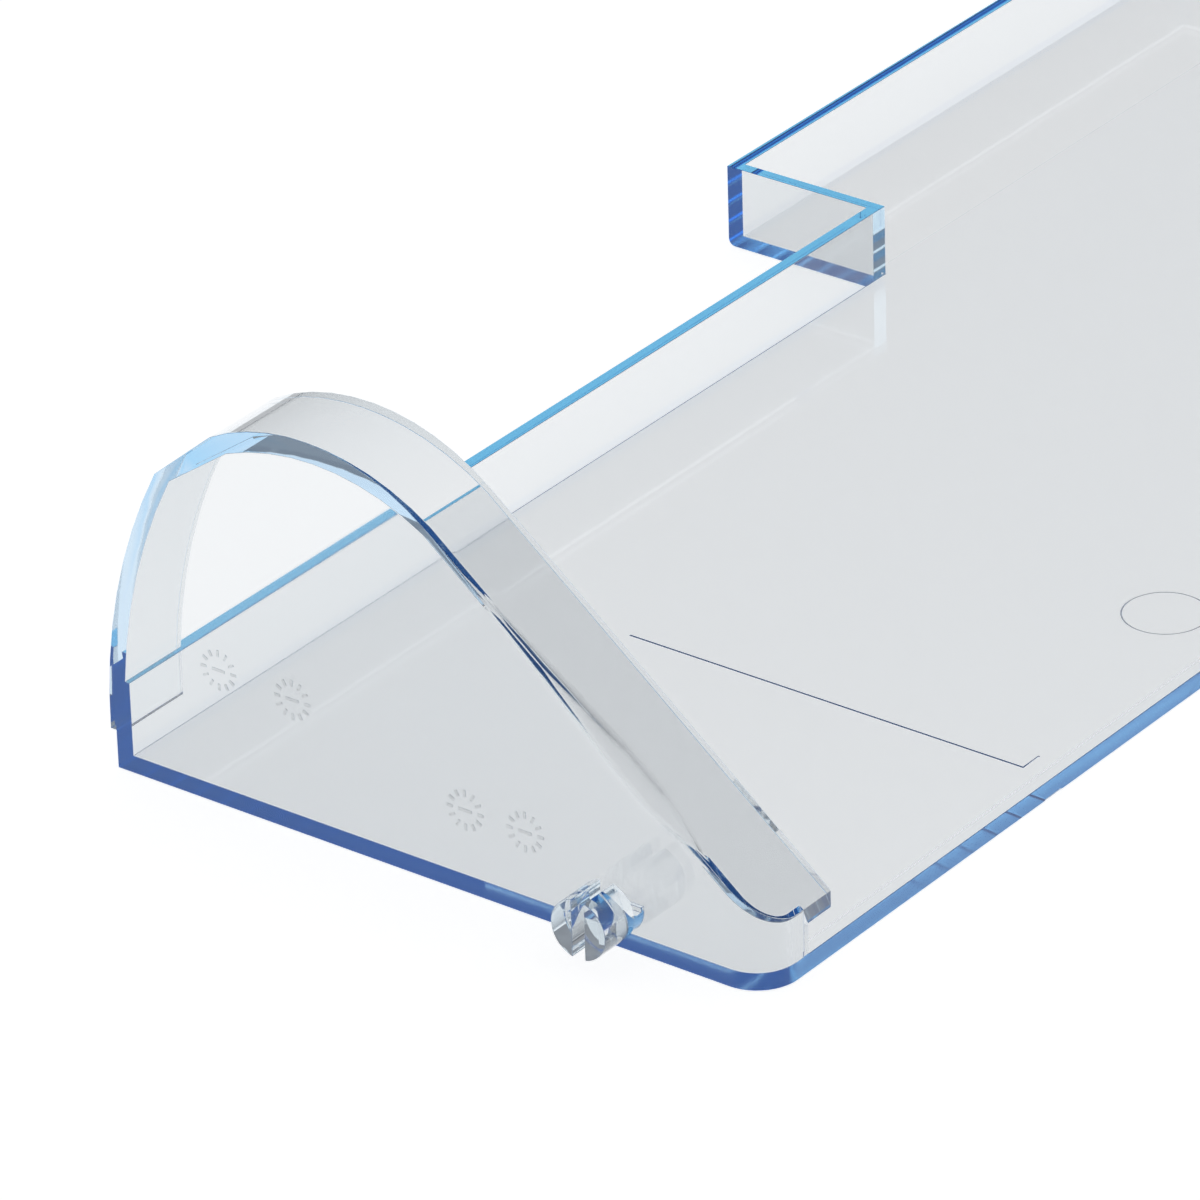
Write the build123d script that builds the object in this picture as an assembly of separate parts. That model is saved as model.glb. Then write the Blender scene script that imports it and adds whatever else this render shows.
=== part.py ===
from build123d import *
import math
import os

# Clear moulded door for a fridge chiller compartment, lying on its outer face.
# X runs along the door, +Y points to the back wall and its grip, +Z is up.
# Sizes are in millimetres.

# Panel, front lip and back wall
panel_length = 480.0
panel_depth = 111.0
panel_thickness = 2.0
front_corner_radius = 6.5
lip_width = 2.2
lip_height = 0.8
wall_thickness = 2.0
wall_height = 13.4

# Fine moulded line across the panel near each end
line_from_end = 67.0
line_width = 0.3
line_depth = 0.15
line_front_gap = 5.6
line_back_gap = 38.0
line_return = 4.0

# Pivot pins
pin_radius = 4.5
pin_from_back = 86.5
pin_height = 7.0
pin_reach = 9.0
prong_length = 6.5
prong_slot = 2.1
neck_radius = 4.2
collar_length = 0.6
collar_rise = 0.7

# Cheeks with an arched flange
arch_thickness = 2.0
flange_width = 14.2
crest_height = 61.1
crest_from_back = 35.5
crest_radius = 33.0
crest_thickness = 3.6
slope_end_height = 10.0
front_wall_end = 9.0
sweep_radius = 87.5
sweep_foot_height = 5.9
facet_top_drop = 4.1
facet_back_drop = 12.6
facet_thickness = 3.0

# Finger grip behind the back wall
grip_width = 124.0
grip_reach = 26.0
grip_floor = 1.6
grip_thickness = 2.0
grip_edge_radius = 1.2

# Places that follow from the sizes above
half_length = panel_length / 2
front_y = -(panel_depth + grip_reach) / 2
back_y = front_y + panel_depth
end_x = -half_length
flange_end = end_x + flange_width

# Cutters run past the surfaces that they cut by this much
spare = 5.0


def profile_plane(x):
    """Plane across the door at x: u counts forward from the back edge, v counts up."""
    return Plane(origin=(x, back_y, 0), x_dir=(0, -1, 0), z_dir=(-1, 0, 0))


def place(x, u, v):
    """Point of the door from its profile coordinates."""
    return Vector(x, back_y - u, v)


def block(x0, x1, u0, u1, v0, v1):
    """Box between two profile corners, along x from x0 to x1."""
    size = (x1 - x0, u1 - u0, v1 - v0)
    centre = ((x0 + x1) / 2, back_y - (u0 + u1) / 2, (v0 + v1) / 2)
    return Pos(*centre) * Box(*size)


def tangent_touch(centre, radius, foot):
    """Point where the line from foot touches the front of a circle."""
    du = centre[0] - foot[0]
    dv = centre[1] - foot[1]
    reach = math.hypot(du, dv)
    turn = math.atan2(dv, du) - math.asin(radius / reach)
    run = math.sqrt(reach ** 2 - radius ** 2)
    return (foot[0] + run * math.cos(turn), foot[1] + run * math.sin(turn))


def circle_back(centre, radius, v):
    """Point on the back of a circle at height v."""
    return (centre[0] - math.sqrt(radius ** 2 - (v - centre[1]) ** 2), v)


def arch_area(low, corners, touch, crest, facet_top, facet_back, sweep):
    """Area under the arch: front and slope, crest, flat facet and a sweep about the pin down to low."""
    sweep_low = circle_back(pin_centre, sweep, low)
    sweep_middle = circle_back(pin_centre, sweep, (low + facet_back[1]) / 2)
    outline = Polyline(sweep_low, *corners, touch).edges()
    outline += ThreePointArc(touch, crest, facet_top).edges()
    outline += Line(facet_top, facet_back).edges()
    outline += ThreePointArc(facet_back, sweep_middle, sweep_low).edges()
    return make_face(outline)


# Outer arch line
pin_centre = (pin_from_back, pin_height)
crest_centre = (crest_from_back, crest_height - crest_radius)
foot = (panel_depth, slope_end_height)
touch = tangent_touch(crest_centre, crest_radius, foot)
facet_top = circle_back(crest_centre, crest_radius, crest_height - facet_top_drop)
facet_back = circle_back(pin_centre, sweep_radius, crest_height - facet_back_drop)
outer_corners = [(0, sweep_foot_height), (0, 0), (panel_depth, 0), foot]
outer_crest = (crest_from_back, crest_height)
outer_area = arch_area(
    sweep_foot_height, outer_corners, touch, outer_crest, facet_top, facet_back, sweep_radius
)

# Inner arch line: thick at the crest, elsewhere parallel to the outer one
slope_run = math.dist(foot, touch)
slope_out = ((touch[1] - foot[1]) / slope_run, (foot[0] - touch[0]) / slope_run)
facet_run = math.dist(facet_top, facet_back)
facet_in = ((facet_top[1] - facet_back[1]) / facet_run, (facet_back[0] - facet_top[0]) / facet_run)


def slope_underside(u):
    """Height of the slope's underside."""
    rise = (panel_depth - u) * slope_out[0] - arch_thickness
    return slope_end_height + rise / slope_out[1]


inner_touch = tuple(t - arch_thickness * n for t, n in zip(touch, slope_out))
inner_crest = (crest_from_back, crest_height - crest_thickness)
inner_facet_top = tuple(t + facet_thickness * n for t, n in zip(facet_top, facet_in))
inner_sweep = sweep_radius - arch_thickness
inner_facet_back = circle_back(pin_centre, inner_sweep, facet_back[1] - arch_thickness / 2)
inner_front = panel_depth - arch_thickness
inner_corners = [(inner_front, panel_thickness), (inner_front, slope_underside(inner_front))]
inner_area = arch_area(
    panel_thickness, inner_corners, inner_touch, inner_crest, inner_facet_top, inner_facet_back, inner_sweep
)

# Cheek and flange, whose front corner is rounded like the panel's
arch_outer = extrude(profile_plane(flange_end) * outer_area, flange_width)
outer_upright = arch_outer.edges().filter_by(Axis.Z).sort_by(Axis.Y)[:2].sort_by(Axis.X)[:1]
arch_outer = fillet(outer_upright, front_corner_radius)
arch_inner = extrude(profile_plane(flange_end + spare) * inner_area, flange_width + spare - arch_thickness)
inner_upright = arch_inner.edges().filter_by(Axis.Z).sort_by(Axis.Y)[:2].sort_by(Axis.X)[:1]
arch_inner = fillet(inner_upright, front_corner_radius - arch_thickness)

# The slope's lower end stands free above the front edge
gap_back = inner_front - spare
gap_front = panel_depth + spare
front_gap = Polygon(
    (gap_back, panel_thickness),
    (gap_front, panel_thickness),
    (gap_front, slope_underside(gap_front)),
    (gap_back, slope_underside(gap_back)),
    align=None,
)
gap_width = flange_width - front_wall_end + spare
arch_inner += extrude(profile_plane(flange_end + spare) * front_gap, gap_width)
arch = arch_outer - arch_inner

# Panel with rounded front corners, a low front lip and two fine lines that turn inwards in front
panel = block(end_x, half_length, 0, panel_depth, 0, panel_thickness)
front_corners = panel.edges().filter_by(Axis.Z).sort_by(Axis.Y)[:2]
panel = fillet(front_corners, front_corner_radius)
lip_reach = half_length - front_wall_end
panel += block(
    -lip_reach, lip_reach, panel_depth - lip_width, panel_depth, 0, panel_thickness + lip_height
)
line_x = end_x + line_from_end
line_front = panel_depth - line_front_gap
line_bottom = panel_thickness - line_depth
line_top = panel_thickness + spare
line = block(line_x, line_x + line_width, line_back_gap, line_front, line_bottom, line_top)
line += block(line_x, line_x + line_return, line_front - line_width, line_front, line_bottom, line_top)

back_wall = block(end_x, half_length, 0, wall_thickness, 0, wall_height)

# Finger grip: a bay in the back wall with a floor, an outer wall and two end plates
grip_half = grip_width / 2
grip_inside = grip_half - grip_thickness
grip_top = wall_height + spare
grip = block(-grip_half, grip_half, -grip_reach, wall_thickness, 0, wall_height)
grip_outer_edges = grip.edges().filter_by(Axis.X).sort_by(Axis.Y)[-2:]
grip = fillet(grip_outer_edges.sort_by(Axis.Z)[:1], grip_edge_radius)
grip_space = block(-grip_inside, grip_inside, grip_thickness - grip_reach, 0, grip_floor, grip_top)
grip_space += block(
    -grip_inside, grip_inside, -grip_thickness, wall_thickness + spare, panel_thickness, grip_top
)

# Split pivot pin: two prongs on a thinner neck, which is rooted at the middle of the cheek's wall
pin_tip = end_x - pin_reach
prong_root = pin_tip + prong_length
neck_root = end_x + arch_thickness / 2
collar_face = end_x - collar_length
pin_top = pin_height + pin_radius + spare
pin_bottom = pin_height - pin_radius - spare


def pin_stretch(x0, x1, radius):
    """Round stretch of the pin from x0 to x1."""
    start = place(x0, pin_from_back, pin_height)
    return extrude(Plane(origin=start, x_dir=(0, -1, 0), z_dir=(1, 0, 0)) * Circle(radius), x1 - x0)


def pin_cut(x0, x1, half_width, v0, v1):
    """Cutter across the pin, half_width to each side of its axis."""
    return block(x0, x1, pin_from_back - half_width, pin_from_back + half_width, v0, v1)


across = pin_radius + spare
slot = pin_cut(pin_tip - spare, prong_root, prong_slot / 2, pin_bottom, pin_top)
notch = pin_cut(prong_root, collar_face, across, pin_height, pin_top)
collar_cut = pin_cut(collar_face, end_x, across, pin_height + collar_rise, pin_top)
pin = pin_stretch(pin_tip, prong_root, pin_radius) + pin_stretch(prong_root, neck_root, neck_radius)
pin = pin - slot - notch - collar_cut

# One moulding: the left end is mirrored to the right
end_parts = arch + pin
door = panel + back_wall + grip - grip_space - line - mirror(line, about=Plane.YZ)
door = door + end_parts + mirror(end_parts, about=Plane.YZ)

os.makedirs("parts", exist_ok=True)
export_step(door, "parts/chiller_door.step")
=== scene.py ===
import bmesh
import bpy
import math
from mathutils import Matrix, Vector


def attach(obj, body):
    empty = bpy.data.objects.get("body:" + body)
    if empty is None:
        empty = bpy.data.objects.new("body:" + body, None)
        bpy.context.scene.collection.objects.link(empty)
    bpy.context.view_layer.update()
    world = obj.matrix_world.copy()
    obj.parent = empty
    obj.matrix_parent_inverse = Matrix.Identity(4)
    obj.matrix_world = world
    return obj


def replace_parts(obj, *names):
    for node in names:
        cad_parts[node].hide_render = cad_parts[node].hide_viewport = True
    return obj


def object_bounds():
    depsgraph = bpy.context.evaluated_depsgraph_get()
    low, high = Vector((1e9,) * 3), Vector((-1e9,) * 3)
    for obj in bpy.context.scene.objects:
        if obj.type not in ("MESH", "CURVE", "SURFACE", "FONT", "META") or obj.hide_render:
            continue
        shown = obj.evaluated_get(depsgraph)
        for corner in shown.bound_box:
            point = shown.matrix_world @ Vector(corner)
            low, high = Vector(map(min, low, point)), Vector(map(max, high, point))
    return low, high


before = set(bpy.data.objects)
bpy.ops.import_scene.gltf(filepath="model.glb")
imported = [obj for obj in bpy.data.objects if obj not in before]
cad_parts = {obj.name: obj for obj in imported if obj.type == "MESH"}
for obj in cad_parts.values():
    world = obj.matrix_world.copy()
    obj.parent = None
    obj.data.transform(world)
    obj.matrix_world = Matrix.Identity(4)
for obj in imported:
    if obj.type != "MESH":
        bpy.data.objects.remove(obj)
cadBox = [list(corner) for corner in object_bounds()]
scene = bpy.context.scene
print("stage 1: frame loaded", cadBox)

# Places on the moulding that several pieces share, from the frame's box
moulding = {
    "pinReach": 0.009,
    "panelDepth": 0.111,
    "panelTopZ": 0.002,
}
endX = cadBox[1][0] - moulding["pinReach"]  # outer face of a cheek
backY = cadBox[0][1] + moulding["panelDepth"]  # outer face of the back wall
sides = {"left": -1, "right": 1}


# Small helpers
def addNode(tree, kind, **inputs):
    node = tree.nodes.new(kind)
    for name, value in inputs.items():
        node.inputs[name.replace("_", " ")].default_value = value
    return node


def newMaterial(name):
    material = bpy.data.materials.new(name)
    material.use_nodes = True
    tree = material.node_tree
    tree.nodes.clear()
    output = tree.nodes.new("ShaderNodeOutputMaterial")
    return material, tree, output


def addObject(name, data):
    piece = bpy.data.objects.new(name, data)
    scene.collection.objects.link(piece)
    return piece


def bakeModifiers(piece):
    graph = bpy.context.evaluated_depsgraph_get()
    finished = bpy.data.meshes.new_from_object(piece.evaluated_get(graph))
    piece.modifiers.clear()
    piece.data = finished
    return finished


# Mould finish: uneven gloss and slow flow marks, shared by the plastic and its relief marks
finish = {
    "grainScale": 900.0,
    "grainDetail": 3.0,
    "waveScale": 55.0,
    "waveDetail": 1.0,
    "waveStrength": 0.02,
    "waveHeight": 0.001,
}


def makeFinishGroup(look):
    group = bpy.data.node_groups.new("mouldFinish", "ShaderNodeTree")
    for name in ("Roughness Low", "Roughness High"):
        group.interface.new_socket(name, in_out="INPUT", socket_type="NodeSocketFloat")
    group.interface.new_socket("Roughness", in_out="OUTPUT", socket_type="NodeSocketFloat")
    group.interface.new_socket("Normal", in_out="OUTPUT", socket_type="NodeSocketVector")
    links = group.links
    entry = group.nodes.new("NodeGroupInput")
    leave = group.nodes.new("NodeGroupOutput")
    coords = group.nodes.new("ShaderNodeTexCoord")
    grain = addNode(group, "ShaderNodeTexNoise", Scale=look["grainScale"], Detail=look["grainDetail"])
    links.new(coords.outputs["Object"], grain.inputs["Vector"])
    gloss = group.nodes.new("ShaderNodeMapRange")
    links.new(grain.outputs["Fac"], gloss.inputs["Value"])
    links.new(entry.outputs["Roughness Low"], gloss.inputs["To Min"])
    links.new(entry.outputs["Roughness High"], gloss.inputs["To Max"])
    links.new(gloss.outputs["Result"], leave.inputs["Roughness"])
    wave = addNode(group, "ShaderNodeTexNoise", Scale=look["waveScale"], Detail=look["waveDetail"])
    links.new(coords.outputs["Object"], wave.inputs["Vector"])
    bump = addNode(group, "ShaderNodeBump", Strength=look["waveStrength"], Distance=look["waveHeight"])
    links.new(wave.outputs["Fac"], bump.inputs["Height"])
    links.new(bump.outputs["Normal"], leave.inputs["Normal"])
    return group


finishGroup = makeFinishGroup(finish)

# Clear plastic: faint blue, deeper where a wall is looked at along its length, partly by absorption and
# partly by a painted blue glow, with painted blue rim light on some faces
clearPlastic = {
    "ior": 1.58,
    "transmission": 1.0,
    "absorbColour": (0.0, 0.61, 0.84, 1.0),
    "absorbDensity": 12.0,  # per metre
    "paintedGlowColour": (0.0, 0.27, 1.0, 1.0),  # painted blue glow inside the plastic, standing in for room light that is led a long way inside the walls
    "paintedGlowStrength": 2.4,
    "roughnessLow": 0.01,
    "roughnessHigh": 0.05,
    "wallColour": (0.89, 0.89, 0.89, 1.0),
    "rimPaintedLightColour": (0.05, 0.43, 0.88, 1.0),  # painted blue rim light, standing in for light led along inside the walls, where the mesh's rim values ask for it
}

# Relief marks: the same plastic with a dull surface and no painted rim light; they keep the painted glow
dullPlastic = dict(clearPlastic, roughnessLow=0.15, roughnessHigh=0.30, rimPaintedLightColour=None)

paintedRimLightLayer = "paintedRimLight"


def makePlastic(name, look):
    material, tree, output = newMaterial(name)
    links = tree.links
    body = addNode(
        tree,
        "ShaderNodeBsdfPrincipled",
        Base_Color=look["wallColour"],
        IOR=look["ior"],
        Transmission_Weight=look["transmission"],
    )
    # Painted rim light: blue mixed into the base colour from the rim values, standing in for light led
    # along inside the walls
    if look["rimPaintedLightColour"]:
        paintedRimLight = tree.nodes.new("ShaderNodeAttribute")
        paintedRimLight.attribute_name = paintedRimLightLayer
        paintedRimLightMix = tree.nodes.new("ShaderNodeMix")
        paintedRimLightMix.data_type = "RGBA"
        paintedRimLightMix.inputs["A"].default_value = look["wallColour"]
        paintedRimLightMix.inputs["B"].default_value = look["rimPaintedLightColour"]
        links.new(paintedRimLight.outputs["Fac"], paintedRimLightMix.inputs["Factor"])
        links.new(paintedRimLightMix.outputs["Result"], body.inputs["Base Color"])
    touch = tree.nodes.new("ShaderNodeGroup")
    touch.node_tree = finishGroup
    touch.inputs["Roughness Low"].default_value = look["roughnessLow"]
    touch.inputs["Roughness High"].default_value = look["roughnessHigh"]
    links.new(touch.outputs["Roughness"], body.inputs["Roughness"])
    links.new(touch.outputs["Normal"], body.inputs["Normal"])
    # The absorption is the plastic's own blue; the emission added to it is a painted glow, since the
    # plastic is no lamp
    inside = addNode(
        tree, "ShaderNodeVolumeAbsorption", Color=look["absorbColour"], Density=look["absorbDensity"]
    )
    paintedGlow = addNode(tree, "ShaderNodeEmission", Color=look["paintedGlowColour"], Strength=look["paintedGlowStrength"])
    both = tree.nodes.new("ShaderNodeAddShader")
    links.new(inside.outputs["Volume"], both.inputs[0])
    links.new(paintedGlow.outputs["Emission"], both.inputs[1])
    links.new(body.outputs["BSDF"], output.inputs["Surface"])
    links.new(both.outputs["Shader"], output.inputs["Volume"])
    return material


plastic = makePlastic("clearPlastic", clearPlastic)
markPlastic = makePlastic("dullPlastic", dullPlastic)
print("stage 2: clear plastic made")


# The door: a copy of the moulding with its edges broken as a mould leaves them
door = {
    "node": "chiller_door",
    "mergeDistance": 1e-6,
    "slack": 1e-4,  # what is this near to a place lies on it
    "flatAngle": math.radians(1.0),
    "edgeAngle": math.radians(20.0),
    "edgeWidth": 0.00008,
    "edgeSegments": 4,
    "flatWeight": 100,  # how much the large faces rule the shading
    "facingUp": 0.9,  # least rise of such a face's normal
    "cheekThickness": 0.002,
    "cornerRadius": 0.0065,
    "flangeWidth": 0.0142,
    "wallTopZ": 0.0134,
    "slopeTopY": -0.0120,
    "slopeLowZ": 0.0089,
    "slopeCuts": 8,
    # Low on the slope, cheek and slope melt into each other
    "softWidth": 0.0036,
    "softTopY": -0.019,
    "softMiddleY": -0.047,
    "softFootY": -0.058,
    # The fine line with its short return stays sharp
    "lineX": 0.171,
    "lineReach": 0.003,
    "lineBackY": 0.006,
    # Share of the painted blue rim light on top of the back wall and along the flange's inner edge
    "rimWall": 1.0,
    "rimCrest": 0.5,
    "rimFacet": 0.85,
    "rimSweep": 0.3,
    "facetFrontY": 0.021,
    "facetLowZ": 0.047,
}


def onSlopeEdge(edge, settings):
    inner = endX - settings["cornerRadius"] - settings["slack"]
    outer = endX + settings["mergeDistance"]
    for vert in edge.verts:
        if not inner < abs(vert.co.x) < outer:
            return False
        if vert.co.y > settings["slopeTopY"] or vert.co.z < settings["slopeLowZ"]:
            return False
    return True


def onFineLine(edge, settings):
    for vert in edge.verts:
        if abs(abs(vert.co.x) - settings["lineX"]) > settings["lineReach"]:
            return False
        if vert.co.y > settings["lineBackY"] or vert.co.z > settings["slopeLowZ"]:
            return False
    return True


# Rounding of a stretch of the slope's edge: none at the top and foot, widest at softMiddleY
def softEdgeWidth(edge, settings):
    middle = (edge.verts[0].co + edge.verts[1].co) / 2
    soft = settings["softMiddleY"]
    end = settings["softTopY"] if middle.y > soft else settings["softFootY"]
    width = settings["softWidth"] * (end - middle.y) / (end - soft)
    if not edge.is_convex:
        width -= settings["cheekThickness"]
    return max(width, settings["edgeWidth"])


def cutSlopeEdges(work, settings):
    slopeEdges = [edge for edge in work.edges if onSlopeEdge(edge, settings)]
    for edge in slopeEdges:
        if abs(edge.verts[0].co.y - edge.verts[1].co.y) < settings["softWidth"]:
            continue
        vert = edge.verts[0]
        for left in range(settings["slopeCuts"], 1, -1):
            vert = bmesh.utils.edge_split(edge, vert, 1 / left)[1]  # the edge itself stays the uncut rest


# How much painted blue rim light a face corner gets
def paintedRimLightShare(face, vert, settings):
    slack = settings["slack"]
    onTop = face.normal.z > settings["facingUp"]
    if onTop and abs(face.center.z - settings["wallTopZ"]) < slack:
        return settings["rimWall"]
    onFlange = abs(abs(face.center.x) - (endX - settings["flangeWidth"])) < slack
    if not onFlange or face.center.z < settings["wallTopZ"]:
        return 0.0
    if vert.co.y < settings["facetFrontY"]:
        return settings["rimCrest"]
    return settings["rimFacet"] if vert.co.z > settings["facetLowZ"] else settings["rimSweep"]


def makeDoor(settings):
    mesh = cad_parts[settings["node"]].data.copy()
    work = bmesh.new()
    work.from_mesh(mesh)
    bmesh.ops.remove_doubles(work, verts=work.verts, dist=settings["mergeDistance"])
    bmesh.ops.dissolve_limit(
        work, angle_limit=settings["flatAngle"], verts=work.verts, edges=work.edges
    )
    cutSlopeEdges(work, settings)
    # Each edge's bevel weight is its share of the widest rounding
    weights = work.edges.layers.float.new("bevel_weight_edge")
    for edge in work.edges:
        if edge.calc_face_angle(0.0) < settings["edgeAngle"] or onFineLine(edge, settings):
            continue
        width = settings["edgeWidth"]
        if onSlopeEdge(edge, settings):
            width = softEdgeWidth(edge, settings)
        edge[weights] = width / settings["softWidth"]
    work.to_mesh(mesh)
    work.free()
    mesh.materials.clear()
    mesh.materials.append(plastic)
    for face in mesh.polygons:
        face.use_smooth = True
    piece = addObject("door", mesh)
    bevel = piece.modifiers.new("brokenEdges", "BEVEL")
    bevel.width = settings["softWidth"]
    bevel.segments = settings["edgeSegments"]
    bevel.limit_method = "WEIGHT"
    bevel.use_clamp_overlap = False
    flat = piece.modifiers.new("flatFaces", "WEIGHTED_NORMAL")
    flat.mode = "FACE_AREA"
    flat.weight = settings["flatWeight"]
    finished = bakeModifiers(piece)
    # Painted blue rim light, its share stored on each face corner
    paintedRimLight = finished.attributes.new(paintedRimLightLayer, "FLOAT", "CORNER")
    for face in finished.polygons:
        for corner in face.loop_indices:
            vert = finished.vertices[finished.loops[corner].vertex_index]
            paintedRimLight.data[corner].value = paintedRimLightShare(face, vert, settings)
    return piece


doorPiece = makeDoor(door)
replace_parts(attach(doorPiece, "root"), door["node"])
print("stage 3: door made,", len(doorPiece.data.polygons), "faces")


# Relief marks, made by one node tree: a plain ring, or a dial of ticks round a pointer
def makeMarkTree():
    tree = bpy.data.node_groups.new("reliefMark", "GeometryNodeTree")
    face = tree.interface
    face.new_socket("Geometry", in_out="INPUT", socket_type="NodeSocketGeometry")
    for name in ("Radius", "Line Width", "Height", "Tick Radius", "Tick Length", "Pointer Length"):
        face.new_socket(name, in_out="INPUT", socket_type="NodeSocketFloat")
    for name in ("Ring Points", "Tick Count"):
        face.new_socket(name, in_out="INPUT", socket_type="NodeSocketInt")
    face.new_socket("Dial", in_out="INPUT", socket_type="NodeSocketBool")
    face.new_socket("Material", in_out="INPUT", socket_type="NodeSocketMaterial")
    face.new_socket("Geometry", in_out="OUTPUT", socket_type="NodeSocketGeometry")
    links = tree.links
    entry = tree.nodes.new("NodeGroupInput")
    leave = tree.nodes.new("NodeGroupOutput")

    # Plain ring: a flat section led round a circle
    circle = tree.nodes.new("GeometryNodeCurvePrimitiveCircle")
    links.new(entry.outputs["Ring Points"], circle.inputs["Resolution"])
    links.new(entry.outputs["Radius"], circle.inputs["Radius"])
    section = tree.nodes.new("GeometryNodeCurvePrimitiveQuadrilateral")
    links.new(entry.outputs["Line Width"], section.inputs["Width"])
    links.new(entry.outputs["Height"], section.inputs["Height"])
    ring = tree.nodes.new("GeometryNodeCurveToMesh")
    links.new(circle.outputs["Curve"], ring.inputs["Curve"])
    links.new(section.outputs["Curve"], ring.inputs["Profile Curve"])

    # Dial: ticks that point outwards, and a bar in the middle
    spots = tree.nodes.new("GeometryNodeMeshCircle")
    links.new(entry.outputs["Tick Count"], spots.inputs["Vertices"])
    links.new(entry.outputs["Tick Radius"], spots.inputs["Radius"])
    bars = {}
    for name in ("Tick Length", "Pointer Length"):
        size = tree.nodes.new("ShaderNodeCombineXYZ")
        links.new(entry.outputs[name], size.inputs["X"])
        links.new(entry.outputs["Line Width"], size.inputs["Y"])
        links.new(entry.outputs["Height"], size.inputs["Z"])
        bars[name] = tree.nodes.new("GeometryNodeMeshCube")
        links.new(size.outputs["Vector"], bars[name].inputs["Size"])
    where = tree.nodes.new("GeometryNodeInputPosition")
    turn = tree.nodes.new("FunctionNodeAlignRotationToVector")
    turn.axis = "X"
    turn.pivot_axis = "Z"
    links.new(where.outputs["Position"], turn.inputs["Vector"])
    spread = tree.nodes.new("GeometryNodeInstanceOnPoints")
    links.new(spots.outputs["Mesh"], spread.inputs["Points"])
    links.new(bars["Tick Length"].outputs["Mesh"], spread.inputs["Instance"])
    links.new(turn.outputs["Rotation"], spread.inputs["Rotation"])
    join = tree.nodes.new("GeometryNodeJoinGeometry")
    links.new(spread.outputs["Instances"], join.inputs["Geometry"])
    links.new(bars["Pointer Length"].outputs["Mesh"], join.inputs["Geometry"])

    choose = tree.nodes.new("GeometryNodeSwitch")
    choose.input_type = "GEOMETRY"
    links.new(entry.outputs["Dial"], choose.inputs["Switch"])
    links.new(ring.outputs["Mesh"], choose.inputs["False"])
    links.new(join.outputs["Geometry"], choose.inputs["True"])
    real = tree.nodes.new("GeometryNodeRealizeInstances")
    paint = tree.nodes.new("GeometryNodeSetMaterial")
    links.new(choose.outputs["Output"], real.inputs["Geometry"])
    links.new(real.outputs["Geometry"], paint.inputs["Geometry"])
    links.new(entry.outputs["Material"], paint.inputs["Material"])
    links.new(paint.outputs["Geometry"], leave.inputs["Geometry"])
    return tree


markTree = makeMarkTree()


def makeMark(name, settings, place, normal):
    piece = addObject(name, bpy.data.meshes.new(name))
    modifier = piece.modifiers.new("relief", "NODES")
    modifier.node_group = markTree
    values = dict(settings["shape"], Material=settings["material"])
    for item in markTree.interface.items_tree:
        if item.in_out == "INPUT" and item.name in values:
            modifier[item.identifier] = values[item.name]
    piece.update_tag()
    mesh = bakeModifiers(piece)
    turn = Vector(normal).to_track_quat("Z", "Y")
    mesh.transform(Matrix.LocRotScale(Vector(place), turn, None))
    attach(piece, "root")


# Moulded dials on both cheeks
dials = {
    "places": ((0.0190, 0.0212), (0.0318, 0.0206), (0.0610, 0.0128), (0.0711, 0.0127)),  # from the back, up
    "material": markPlastic,
    "shape": {
        "Dial": True,
        "Line Width": 0.0004,
        "Height": 0.00008,
        "Tick Radius": 0.0026,
        "Tick Length": 0.0010,
        "Tick Count": 12,
        "Pointer Length": 0.0022,
    },
}
for sideName, sign in sides.items():
    for number, (fromBack, up) in enumerate(dials["places"]):
        spot = (sign * endX, backY - fromBack, up)
        makeMark(f"{sideName}Dial{number}", dials, spot, (sign, 0, 0))

# Ejector marks on the panel, one near each end
ejectors = {
    "fromMiddle": 0.1254,
    "fromBack": 0.0967,
    "material": plastic,
    "shape": {
        "Dial": False,
        "Radius": 0.0062,
        "Ring Points": 48,
        "Line Width": 0.0002,
        "Height": 0.00003,
    },
}
for number, sign in enumerate(sides.values()):
    spot = (sign * ejectors["fromMiddle"], backY - ejectors["fromBack"], moulding["panelTopZ"])
    makeMark(f"ejector{number}", ejectors, spot, (0, 0, 1))
print("stage 4: relief marks made")


# Stage: white table under an even sky
studio = {
    "tableSize": 12.0,
    "tableDrop": 0.0004,
    "tableColour": (0.92, 0.92, 0.92, 1.0),
    "tableRoughness": 0.9,
    "tableGlowColour": (1.0, 1.0, 1.0, 1.0),
    "tableGlow": 0.81,
    "tableBounces": 1,
    "skyColour": (0.55, 0.56, 0.58, 1.0),
    "skyStrength": 0.44,
    "innerBounces": 24,  # light runs far inside the clear walls
}


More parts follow.
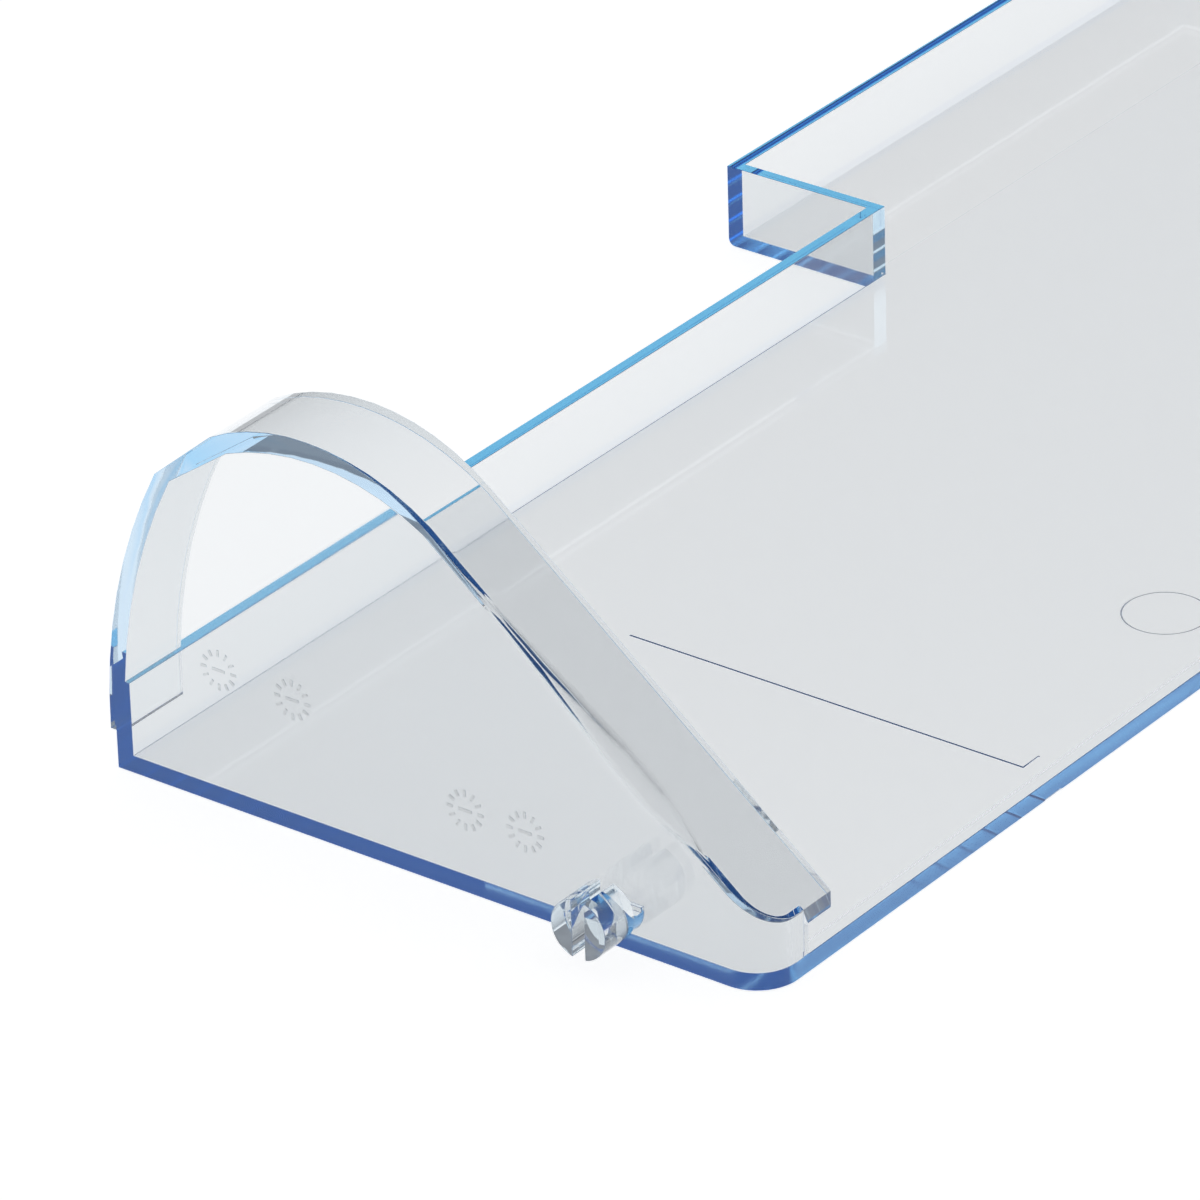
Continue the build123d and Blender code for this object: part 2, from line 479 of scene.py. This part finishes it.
def makeStage(settings):
    half = settings["tableSize"] / 2
    mesh = bpy.data.meshes.new("table")
    corners = [(-half, -half), (half, -half), (half, half), (-half, half)]
    mesh.from_pydata([(x, y, -settings["tableDrop"]) for x, y in corners], [], [(0, 1, 2, 3)])
    table = addObject("table", mesh)
    material, tree, output = newMaterial("tableWhite")
    paper = addNode(
        tree,
        "ShaderNodeBsdfPrincipled",
        Base_Color=settings["tableColour"],
        Roughness=settings["tableRoughness"],
        Emission_Color=settings["tableGlowColour"],
        Emission_Strength=settings["tableGlow"],
    )
    tree.links.new(paper.outputs["BSDF"], output.inputs["Surface"])
    mesh.materials.append(material)

    world = bpy.data.worlds.new("softRoom")
    world.use_nodes = True
    sky = world.node_tree.nodes["Background"]
    sky.inputs["Color"].default_value = settings["skyColour"]
    sky.inputs["Strength"].default_value = settings["skyStrength"]
    scene.world = world
    # Sky and table fill the whole view, so they are met by chance often enough
    world.cycles.sampling_method = "NONE"
    material.cycles.emission_sampling = "NONE"
    paths = scene.cycles
    paths.max_bounces = settings["innerBounces"]
    paths.glossy_bounces = settings["innerBounces"]
    paths.transmission_bounces = settings["innerBounces"]
    paths.diffuse_bounces = settings["tableBounces"]


makeStage(studio)


# Camera at the photograph's viewing angle
view = {
    "right": (0.6006, -0.7991, -0.0273),
    "up": (0.3955, 0.2672, 0.8787),
    "cornerPlace": (-endX, backY, 0.0),  # bottom back corner of the near end
    "cornerPixel": (118.5, 767.3),
    "imageSide": 1200.0,
    "focalPixels": 9319.6,
    "metresPerPixel": 0.000138,  # at that corner
    "sensor": 36.0,
}


def makeCamera(settings):
    right = Vector(settings["right"]).normalized()
    up = Vector(settings["up"])
    up = (up - right * up.dot(right)).normalized()
    back = right.cross(up)
    away = settings["focalPixels"] * settings["metresPerPixel"]
    middle = settings["imageSide"] / 2
    across = (settings["cornerPixel"][0] - middle) * settings["metresPerPixel"]
    down = (settings["cornerPixel"][1] - middle) * settings["metresPerPixel"]
    place = Vector(settings["cornerPlace"]) - right * across + up * down + back * away
    lens = bpy.data.cameras.new("camera")
    lens.sensor_width = settings["sensor"]
    lens.lens = settings["sensor"] * settings["focalPixels"] / settings["imageSide"]
    camera = addObject("camera", lens)
    turn = Matrix((right, up, back)).transposed().to_4x4()
    camera.matrix_world = Matrix.Translation(place) @ turn
    scene.camera = camera


makeCamera(view)
scene.view_settings.view_transform = "Standard"
print("stage 5: stage and camera set")
